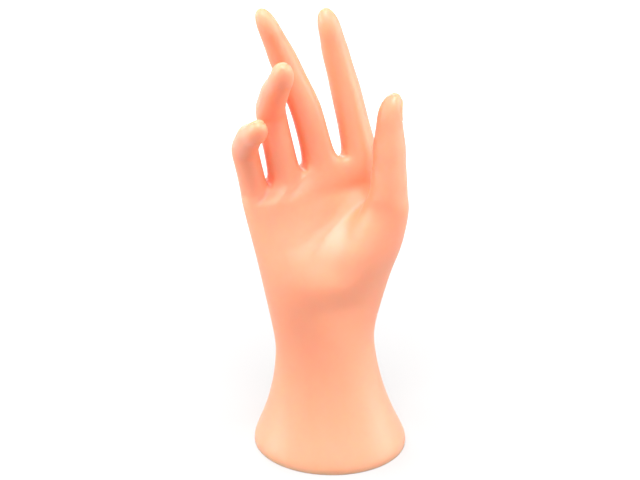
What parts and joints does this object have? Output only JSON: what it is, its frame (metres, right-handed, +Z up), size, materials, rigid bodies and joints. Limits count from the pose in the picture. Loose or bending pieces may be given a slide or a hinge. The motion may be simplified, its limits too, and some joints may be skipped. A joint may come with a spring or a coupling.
{
  "type": "hand jewelry stand",
  "caption": "Display stand shaped as a raised hand on a flared forearm, for rings, bracelets and necklaces; one plastic moulding that stands on an oval foot.",
  "frame": {"origin": "centre of the oval foot's flat underside", "axes": "+Z up along the forearm to the fingertips, -Y the way the palm faces, +X the thumb's side"},
  "size_m": [0.0831, 0.0692, 0.2192],
  "materials": {
    "skin_tone_plastic": "satin, skin tone moulded through"
  },
  "bodies": {
    "root": {"hand": "skin_tone_plastic"}
  },
  "joints": []
}
